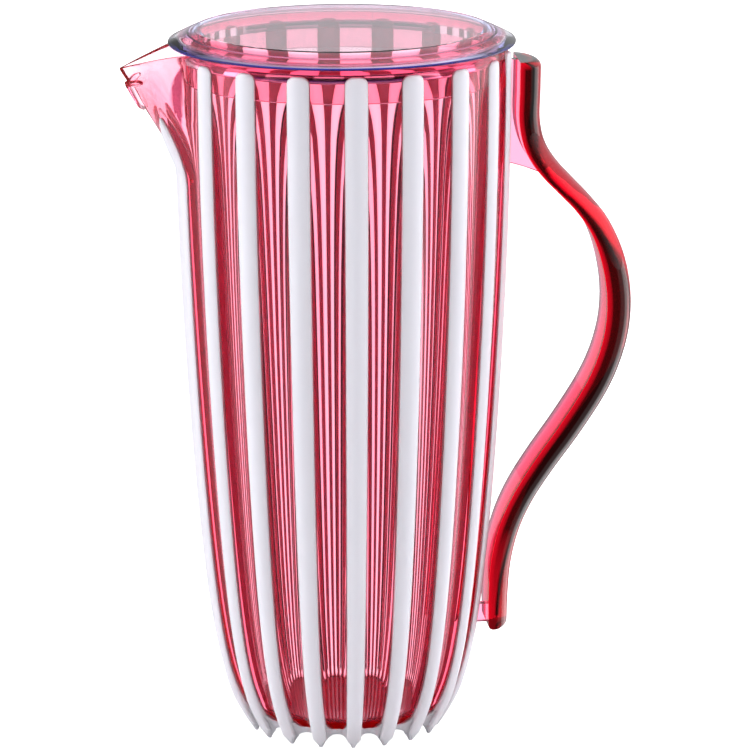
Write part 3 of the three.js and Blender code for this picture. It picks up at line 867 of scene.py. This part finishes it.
# %% Spin the lid
LID_TOP = 262.0
LID_PLATE = 2.4
LID_UNDER = RIM_HEIGHT + FIT_GAP
LID_RADIUS = 63.3
LID_TOP_RADIUS = 53.7
UNDER_TOP_RADIUS = 51.4
SHOULDER = [(61.0, 258.65), (58.8, 259.75), (56.4, 260.85)]
UNDER_SHOULDER = [(56.8, 258.3), (58.8, 257.5), (60.4, 256.85), (61.6, 256.5)]
SHOULDER_FOOT = 259.1
LIP_SIZE = 0.6
SKIRT_LOW = LID_UNDER - 13.4
SKIRT_RADIUS = float(inside_radius(np.array(SKIRT_LOW))) - 1.0
SKIRT_INNER = SKIRT_RADIUS - 1.2
SKIRT_EDGE = 0.5
INNER_EDGE = 0.3
INNER_DROP = 4.1
GROOVE_TOP = LID_UNDER - 3.0
GROOVE_LOW = GROOVE_TOP - 3.0
GROOVE_RADIUS = SKIRT_RADIUS - 1.3
lid_profile = [(r, LID_TOP - LID_PLATE) for r in (0.0, 20.0, 40.0, UNDER_TOP_RADIUS)]
lid_profile += arc(SKIRT_INNER - INNER_EDGE, LID_TOP - INNER_DROP, INNER_EDGE, INNER_EDGE, 65, 0, 5)
lid_profile += [(SKIRT_INNER, h) for h in (256.0, 252.0, 248.0)]
lid_profile += arc(SKIRT_INNER + SKIRT_EDGE, SKIRT_LOW + SKIRT_EDGE, SKIRT_EDGE, SKIRT_EDGE, 180, 270, 6)
lid_profile += arc(SKIRT_RADIUS - SKIRT_EDGE, SKIRT_LOW + SKIRT_EDGE, SKIRT_EDGE, SKIRT_EDGE, 270, 360, 6)
lid_profile += [(SKIRT_RADIUS, 247.0), (SKIRT_RADIUS, GROOVE_LOW), (GROOVE_RADIUS, GROOVE_LOW)]
lid_profile += [(GROOVE_RADIUS, GROOVE_TOP), (SKIRT_RADIUS, GROOVE_TOP), (SKIRT_RADIUS, SHOULDER_FOOT)]
lid_profile += UNDER_SHOULDER
lid_profile += arc(LID_RADIUS - LIP_SIZE, LID_UNDER + 0.45, LIP_SIZE, LIP_SIZE, -110, 65, 14)
lid_profile += SHOULDER + [(r, LID_TOP) for r in (LID_TOP_RADIUS, 40.0, 20.0, 0.0)]
lid = spin_profile("lid_clear_cover", lid_profile, 180, closed=False)
close_up(lid, 20)

# %% [markdown]
# ## The comb
# On the spout's side the skirt is a comb of narrow slots, which lets the drink through and holds ice back.
# One block for each slot is set across the skirt, and all are cut out in one go.

# %% Cut the comb
SLOT_COUNT = 17
SLOT_TURN = math.radians(3)
SLOT_SIZE = np.array([8.0, 1.4, 14.0])
SLOT_DEEP = 1.3
cutters = []
for slot in range(SLOT_COUNT):
    fresh()
    bpy.ops.mesh.primitive_cube_add(size=1)
    cutter = bpy.context.object
    turn = math.pi + (slot - (SLOT_COUNT - 1) / 2) * SLOT_TURN
    spots = (points_of(cutter) * SLOT_SIZE + np.array([SKIRT_RADIUS - SLOT_DEEP, 0, SKIRT_LOW])) * MM
    x, y = spots[:, 0].copy(), spots[:, 1].copy()
    spots[:, 0] = AXIS_X + x * math.cos(turn) - y * math.sin(turn)
    spots[:, 1] = x * math.sin(turn) + y * math.cos(turn)
    put_points(cutter, spots)
    cutters.append(cutter)
only(cutters[0])
for cutter in cutters:
    cutter.select_set(True)
bpy.ops.object.join()
combine(lid, cutters[0], "DIFFERENCE")
close_up(lid, 20)

# %% [markdown]
# ## The painted colours of the lid
# The lid is almost colourless. Its lip shows indigo, most at the spout's end: its own blue, with painted
# shade.
# Its skirt and shoulder show the painted red of the jug seen in it: 0 is deep red, one half clear, 1 indigo.

# %% Paint the lid
LIP_ENDS, LIP_STRENGTH = (-60, -30, 25, 60), (1, 0.3, 0.15, 0.6)
points = points_of(lid)
from_axis = np.hypot(points[:, 0] - AXIS_X, points[:, 1]) / MM
high = points[:, 2] / MM
# Painted indigo shade on the lip, strongest at the spout's end.
lip = np.clip((from_axis - 58.5) / 3.0, 0, 1) * np.clip((25 - points[:, 1] / MM) / 40, 0, 1)
lip *= np.interp((points[:, 0] - AXIS_X) / MM, LIP_ENDS, LIP_STRENGTH)
# Painted red of the jug, as seen in the lid, on the skirt and shoulder.
skirt = (high < 258.9) & (from_axis < 56.0)
shoulder = (high > 259.0) & (from_axis > 55.5) & (from_axis < 60.0)
paint(lid, "painted_light_tone", 0.5 - 0.25 * skirt - 0.4 * shoulder + 0.5 * lip)
settle(lid, "lid", "lid_cover")
print("lid:", int(skirt.sum()), "skirt and", int(shoulder.sum()), "shoulder points")

# %% [markdown]
# ## The seal
# A thin soft ring sits in the groove of the skirt and grips the mouth. It is a spun oval, sized by the
# CAD's own ring.

# %% Spin the seal
SEAL_HALF_HEIGHT = 1.2
seal_inner = GROOVE_RADIUS + FIT_GAP
seal_outer = seal_high.y / MM
seal_middle = (seal_low.z + seal_high.z) / 2 / MM
seal_radius = (seal_inner + seal_outer) / 2
seal_half_width = (seal_outer - seal_inner) / 2
seal_profile = arc(seal_radius, seal_middle, seal_half_width, SEAL_HALF_HEIGHT, 0, 345, 23)
seal = spin_profile("lid_soft_seal", seal_profile, 180, closed=True)
close_up(seal, 60)
settle(seal, "seal", "lid_seal")

# %% [markdown]
# ## Clear plastics
# Jug and handle are clear plastic that soaks up green and blue on the way, so thin walls look pink and
# thick ones crimson. That is a volume: the longer the way, the deeper the colour. The lid soaks up a little
# of all but blue.

# %% Clear plastics


def new_material(name):
    material = bpy.data.materials.new(name)
    material.use_nodes = True
    return material, material.node_tree, material.node_tree.nodes["Principled BSDF"]


def set_inputs(node, values):
    for name, value in values.items():
        node.inputs[name].default_value = value


def give(piece, material):
    piece.data.materials.clear()
    piece.data.materials.append(material)


def clear_plastic(piece, name, colour, density):
    material, tree, shader = new_material(name)
    set_inputs(shader, {"Transmission Weight": 1.0, "IOR": 1.5})
    volume = tree.nodes.new("ShaderNodeVolumeAbsorption")
    set_inputs(volume, {"Color": (*colour, 1), "Density": density})
    tree.links.new(volume.outputs["Volume"], tree.nodes["Material Output"].inputs["Volume"])
    give(piece, material)


clear_plastic(jug, "tinted_clear_plastic", (0.97, 0.03, 0.28), 175)
clear_plastic(handle, "tinted_handle_plastic", (0.972, 0.05, 0.36), 270)
clear_plastic(lid, "clear_lid_plastic", (0.2, 0.2, 0.75), 30)
print("clear pieces:", [piece.data.materials[0].name for piece in (jug, handle, lid)])

# %% [markdown]
# ## Painted light in the clear pieces
# The painted shade and reflections on the points run through a colour ramp into the surface colour. A ray
# takes the tint once on the way in and once on the way out.

# %% Tint the clear pieces
CLEAR = (1, 1, 1)
ROSE = (1, 0.45, 0.62)
PALE_ROSE = (1, 0.55, 0.64)
CRIMSON = (0.16, 0.014, 0.042)
WINE = (0.55, 0.1, 0.24)
PAINTED_SIDE_SHADE = (0.35, 0.28, 0.32)
NEAR_BLACK = (0.002, 0.0008, 0.0008)
INDIGO = (0.2, 0.15, 0.4)


def tint_by(piece, attribute, stops):
    """Colours the surface of a clear piece by a value that is painted on its points."""
    tree = piece.data.materials[0].node_tree
    value = tree.nodes.new("ShaderNodeAttribute")
    value.attribute_name = attribute
    ramp = tree.nodes.new("ShaderNodeValToRGB")
    for i, (place, colour) in enumerate(stops):
        stop = ramp.color_ramp.elements[i] if i < 2 else ramp.color_ramp.elements.new(place)
        stop.position = place
        stop.color = (*colour, 1)
    tree.links.new(value.outputs["Fac"], ramp.inputs["Fac"])
    tree.links.new(ramp.outputs["Color"], tree.nodes["Principled BSDF"].inputs["Base Color"])


# Jug: painted rose shade in the collar, painted crimson far wall in the lens.
tint_by(jug, "painted_deep_shade", [(0.0, CLEAR), (1.0, CRIMSON), (0.5, ROSE)])
# Handle: painted near black band and painted shade on the round side.
tint_by(handle, "painted_light_tone", [(0.0, CLEAR), (1.0, NEAR_BLACK), (0.5, PAINTED_SIDE_SHADE)])
# Lid: painted red of the jug on skirt and shoulder, indigo lip of its own blue and painted shade.
tint_by(lid, "painted_light_tone", [(0.0, WINE), (1.0, INDIGO), (0.25, PALE_ROSE), (0.5, CLEAR)])
print("tinted:", jug.name, handle.name, lid.name)

# %% [markdown]
# ## White ribs and soft seal
# The ribs are opaque white plastic with a cold cast. A little light runs under their surface and softens the
# shade at the edges, and a faint painted glow stands for light that soaks through them. The seal is soft,
# pale and slightly frosted.

# %% White and soft materials
white, tree, shader = new_material("white_rib_plastic")
set_inputs(shader, {
    "Base Color": (0.86, 0.86, 0.92, 1),
    "Subsurface Weight": 0.7,
    "Subsurface Radius": (1, 1, 1),
    "Subsurface Scale": 0.002,
    # Painted glow: a faint emission for light that soaks through the white plastic.
    "Emission Color": (1, 1, 1, 1),
    "Emission Strength": 0.015,
})
give(cage, white)
soft, tree, shader = new_material("soft_seal_rubber")
set_inputs(shader, {"Base Color": (1.0, 0.88, 0.92, 1), "IOR": 1.42, "Transmission Weight": 1.0})
give(seal, soft)
print("opaque and soft:", white.name, soft.name)

# %% [markdown]
# ## Moulded grain
# No moulded face is quite even. One node group makes a noise from the place on the object, and each
# material takes its roughness and a faint relief from it, at a scale of its own.

# %% Grain of all surfaces
grain_group = bpy.data.node_groups.new("surface_grain", "ShaderNodeTree")
for name, kind in (("Vector", "Vector"), ("Scale", "Float"), ("Smooth", "Float"), ("Rough", "Float")):
    grain_group.interface.new_socket(name=name, in_out="INPUT", socket_type="NodeSocket" + kind)
for name in ("Roughness", "Height"):
    grain_group.interface.new_socket(name=name, in_out="OUTPUT", socket_type="NodeSocketFloat")
enter = grain_group.nodes.new("NodeGroupInput")
leave = grain_group.nodes.new("NodeGroupOutput")
noise = grain_group.nodes.new("ShaderNodeTexNoise")
set_inputs(noise, {"Detail": 3.0})
spread = grain_group.nodes.new("ShaderNodeMapRange")
set_inputs(spread, {"From Min": 0.3, "From Max": 0.7})
for output, socket in (
    (enter.outputs["Vector"], noise.inputs["Vector"]),
    (enter.outputs["Scale"], noise.inputs["Scale"]),
    (noise.outputs[0], spread.inputs["Value"]),
    (enter.outputs["Smooth"], spread.inputs["To Min"]),
    (enter.outputs["Rough"], spread.inputs["To Max"]),
    (noise.outputs[0], leave.inputs["Height"]),
    (spread.outputs["Result"], leave.inputs["Roughness"]),
):
    grain_group.links.new(output, socket)


def add_grain(piece, scale, smooth, rough, strength):
    """Lets roughness and relief wander a little over a piece, as a moulded face does."""
    tree = piece.data.materials[0].node_tree
    shader = tree.nodes["Principled BSDF"]
    place = tree.nodes.new("ShaderNodeTexCoord")
    grain = tree.nodes.new("ShaderNodeGroup")
    grain.node_tree = grain_group
    set_inputs(grain, {"Scale": scale, "Smooth": smooth, "Rough": rough})
    relief = tree.nodes.new("ShaderNodeBump")
    set_inputs(relief, {"Strength": strength, "Distance": 0.0002})
    tree.links.new(place.outputs["Object"], grain.inputs["Vector"])
    tree.links.new(grain.outputs["Height"], relief.inputs["Height"])
    tree.links.new(grain.outputs["Roughness"], shader.inputs["Roughness"])
    tree.links.new(relief.outputs["Normal"], shader.inputs["Normal"])


add_grain(jug, 60, 0.0, 0.012, 0.02)
add_grain(handle, 60, 0.0, 0.02, 0.03)
add_grain(lid, 50, 0.0, 0.012, 0.02)
add_grain(cage, 500, 0.3, 0.42, 0.06)
add_grain(seal, 400, 0.12, 0.22, 0.1)
print("materials given:", [m.name for m in bpy.data.materials if m.users])

# %% [markdown]
# ## Nodes for the studio
# Clear plastic shows its surroundings, so which parts of the studio a ray finds bright depends on the way
# it came. Small helpers build the sums in the node tree at hand, the floor's first and then the world's.

# %% Helpers for the studio


def node_math(operation, first, second=None, clamp=False):
    step = tree.nodes.new("ShaderNodeMath")
    step.operation = operation
    step.use_clamp = clamp
    for socket, value in zip(step.inputs, (first, second)):
        if isinstance(value, (int, float)):
            socket.default_value = value
        elif value is not None:
            tree.links.new(value, socket)
    return step.outputs[0]


def times(first, second):
    return node_math("MULTIPLY", first, second)


def node_ramp(value, low, high, start=0.0, end=1.0):
    """Goes smoothly from start to end while the value goes from low to high."""
    ramp = tree.nodes.new("ShaderNodeMapRange")
    ramp.interpolation_type = "SMOOTHSTEP"
    set_inputs(ramp, {"From Min": low, "From Max": high, "To Min": start, "To Max": end})
    tree.links.new(value, ramp.inputs["Value"])
    return ramp.outputs["Result"]


def node_mix(share, first, second):
    mix = tree.nodes.new("ShaderNodeMix")
    mix.data_type = "RGBA"
    mix.inputs[6].default_value = (*first, 1)
    mix.inputs[7].default_value = (*second, 1)
    tree.links.new(share, mix.inputs["Factor"])
    return mix.outputs[2]


print("studio helpers ready")

# %% [markdown]
# ## The floor
# The object stands on white paper. What the camera sees of it, straight on or through clear pieces, is
# lifted to white. A ray that a rib sends out through the red wall finds the paper red, so the inner faces
# of the ribs blush.

# %% Floor
PAPER = (0.9, 0.9, 0.9)
PAPER_BLUSH = (0.97, 0.18, 0.32)
fresh()
bpy.ops.mesh.primitive_plane_add(size=40, location=(0, 0, -0.0002))
floor = bpy.context.object
floor.name = "studio_floor"
paper, tree, shader = new_material("white_paper")
set_inputs(shader, {"Roughness": 1.0, "Specular IOR Level": 0.0, "Emission Color": (1, 1, 1, 1)})
path = tree.nodes.new("ShaderNodeLightPath").outputs
through_glass = node_math("MAXIMUM", path["Is Glossy Ray"], path["Is Transmission Ray"])
seen = node_math("MAXIMUM", path["Is Camera Ray"], through_glass)
soaked = node_math("MULTIPLY", path["Is Transmission Ray"], path["Diffuse Depth"], clamp=True)
seen_only = node_math("SUBTRACT", seen, soaked, clamp=True)
tree.links.new(seen_only, shader.inputs["Emission Strength"])
tree.links.new(node_mix(soaked, PAPER, PAPER_BLUSH), shader.inputs["Base Color"])
give(floor, paper)
print("floor of", floor.dimensions.x, "m")

# %% [markdown]
# ## Dark sides of the studio
# A photographer sets black cards beside clear things, so that their edges get dark lines. Here the cards
# are sectors of the floor, black only for rays that come through plastic or mirror off it: one behind on
# each side for rays through more than one wall, the front for rays through one or two, and most of the
# floor for mirrored rays. A bright sector on the right gives the handle its grey gleam.

# %% Dark sides of the studio
NEAR_EDGE = 0.09
FAR_EDGE = 8.0
RIGHT_CARD = (19.0, 36.0)
LEFT_CARD = (-55.0, -21.0)
FRONT_CARD = (-75.0, 75.0)
RIGHT_LIGHT = (52.0, 76.0)
ONE_WALL = 2.5
WHOLE_JUG = 4.5
MIRRORED_DARK = 0.82
DEGREES = 180 / math.pi


def floor_band(value, low, high, soft):
    """1 between low and high, fading to 0 over the soft width on both sides."""
    rising = node_ramp(value, low - soft, low)
    falling = node_ramp(value, high + soft, high)
    return times(rising, falling)


place = tree.nodes.new("ShaderNodeTexCoord")
split = tree.nodes.new("ShaderNodeSeparateXYZ")
tree.links.new(place.outputs["Object"], split.inputs[0])
aside = node_math("SUBTRACT", split.outputs["X"], AXIS_X)
away = times(split.outputs["Y"], -1.0)
back_turn = times(node_math("ARCTAN2", aside, split.outputs["Y"]), DEGREES)
front_turn = times(node_math("ARCTAN2", aside, away), DEGREES)
square = node_math("ADD", node_math("POWER", aside, 2.0), node_math("POWER", away, 2.0))
far_enough = floor_band(node_math("SQRT", square), NEAR_EDGE, FAR_EDGE, 0.04)

right_card = floor_band(back_turn, *RIGHT_CARD, 5.0)
cards = node_math("ADD", right_card, floor_band(back_turn, *LEFT_CARD, 5.0))
shallow = node_math("LESS_THAN", path["Transmission Depth"], ONE_WALL)
middling = node_math("LESS_THAN", path["Transmission Depth"], WHOLE_JUG)
is_deep = node_math("SUBTRACT", 1.0, shallow)
cards = times(times(cards, is_deep), far_enough)
front_share = node_math("MAXIMUM", shallow, times(middling, 0.8))
front_dark = times(floor_band(front_turn, *FRONT_CARD, 10.0), front_share)
mirrored = node_math("SUBTRACT", path["Is Glossy Ray"], path["Is Transmission Ray"], clamp=True)
right_light = times(floor_band(back_turn, *RIGHT_LIGHT, 7.0), -0.75)
mirrored_dark = times(mirrored, node_math("ADD", right_light, MIRRORED_DARK))
dark = node_math("MAXIMUM", node_math("MAXIMUM", cards, front_dark), mirrored_dark)
velvet = tree.nodes.new("ShaderNodeBsdfDiffuse")
velvet.inputs["Color"].default_value = (0.05, 0.05, 0.05, 1)
choose = tree.nodes.new("ShaderNodeMixShader")
tree.links.new(times(dark, through_glass), choose.inputs["Fac"])
tree.links.new(shader.outputs[0], choose.inputs[1])
tree.links.new(velvet.outputs[0], choose.inputs[2])
tree.links.new(choose.outputs[0], tree.nodes["Material Output"].inputs["Surface"])
print("floor material has", len(tree.nodes), "nodes")

# %% [markdown]
# ## The light
# The room lights white faces evenly, with a tall soft box at each side and a little from above. Rays
# through plastic see a bright wall behind and a dark room in front. Mirrored rays see less of the wall and
# almost nothing of the boxes, as when cards screen them. Seen straight on, the room is white.

# %% World
ROOM_PLAIN = 0.36
ROOM_FRONT = 0.07
ROOM_BACK = 0.9
SIDE_LIGHT = 3.9
TOP_LIGHT = 0.5
SCREENED_SIDE = 0.92
ROOM_WHITE = (0.97, 0.97, 1.0)
ROOM_BLUSH = (1.7, 0.22, 0.4)
world = bpy.data.worlds.new("soft_room")
bpy.context.scene.world = world
world.use_nodes = True
tree = world.node_tree
background = tree.nodes["Background"]
direction = tree.nodes.new("ShaderNodeTexCoord")
split = tree.nodes.new("ShaderNodeSeparateXYZ")
tree.links.new(direction.outputs["Generated"], split.inputs[0])
ahead, aside, up = split.outputs["Y"], split.outputs["X"], split.outputs["Z"]
ray = tree.nodes.new("ShaderNodeLightPath").outputs

wall_seen = node_ramp(ahead, -0.45, 0.15, ROOM_FRONT - ROOM_PLAIN, ROOM_BACK - ROOM_PLAIN)
room = node_math("ADD", times(ray["Is Glossy Ray"], wall_seen), ROOM_PLAIN)
room = node_math("ADD", room, node_ramp(up, 0.35, 0.85, 0.0, TOP_LIGHT))
boxes = node_ramp(node_math("ABSOLUTE", aside), 0.72, 0.96, 0.0, SIDE_LIGHT)
mirrored = node_math("SUBTRACT", ray["Is Glossy Ray"], ray["Is Transmission Ray"], clamp=True)
screened = times(mirrored, node_ramp(aside, -0.14, -0.05, 0.75, 0.28))
room = times(room, node_math("SUBTRACT", 1.0, screened))
screened = times(mirrored, SCREENED_SIDE)
boxes = times(boxes, node_math("SUBTRACT", 1.0, screened))
one_wall = node_ramp(ray["Transmission Depth"], 2.4, 2.6, 1.0, 0.0)
once = times(ray["Is Transmission Ray"], one_wall)
left_dark = times(once, node_ramp(aside, 0.0, 0.25, 0.4, 0.0))
light = node_math("ADD", room, boxes)
light = times(light, node_math("SUBTRACT", 1.0, left_dark))
tree.links.new(node_math("MAXIMUM", light, ray["Is Camera Ray"]), background.inputs["Strength"])
soaked = times(ray["Is Transmission Ray"], node_ramp(ray["Diffuse Depth"], 0, 1))
tree.links.new(node_mix(soaked, ROOM_WHITE, ROOM_BLUSH), background.inputs["Color"])
print("world has", len(tree.nodes), "nodes")

# %% [markdown]
# ## The camera
# The camera stands where the photographer's did: a long lens that looks down a little, from slightly to the
# spout's side. Clear walls lie one behind another, so a ray may pass many of them.

# %% Camera
AZIMUTH = math.radians(-4.866)
ELEVATION = math.radians(12.534)
ROLL = -0.004
DISTANCE = 2.2805
AIM_HEIGHT = 0.1325
AIM_RIGHT = 0.01156
LENS = 297.7
camera_data = bpy.data.cameras.new("photo_camera")
camera = bpy.data.objects.new("photo_camera", camera_data)
bpy.context.scene.collection.objects.link(camera)
camera_data.sensor_width = 36
camera_data.lens = LENS
level_part = math.cos(ELEVATION)
back = Vector((math.sin(AZIMUTH) * level_part, -math.cos(AZIMUTH) * level_part, math.sin(ELEVATION)))
centre = Vector((AXIS_X, 0, AIM_HEIGHT))
camera.location = centre + back * DISTANCE
aim = centre + Vector((math.cos(AZIMUTH), math.sin(AZIMUTH), 0)) * AIM_RIGHT
look = (aim - camera.location).to_track_quat("-Z", "Y")
camera.rotation_mode = "QUATERNION"
camera.rotation_quaternion = look @ Quaternion((0, 0, 1), ROLL)
scene = bpy.context.scene
scene.camera = camera
scene.view_settings.view_transform = "Standard"
scene.cycles.max_bounces = 24
scene.cycles.transmission_bounces = 24
scene.cycles.glossy_bounces = 12
print("camera at", [round(v, 3) for v in camera.location])
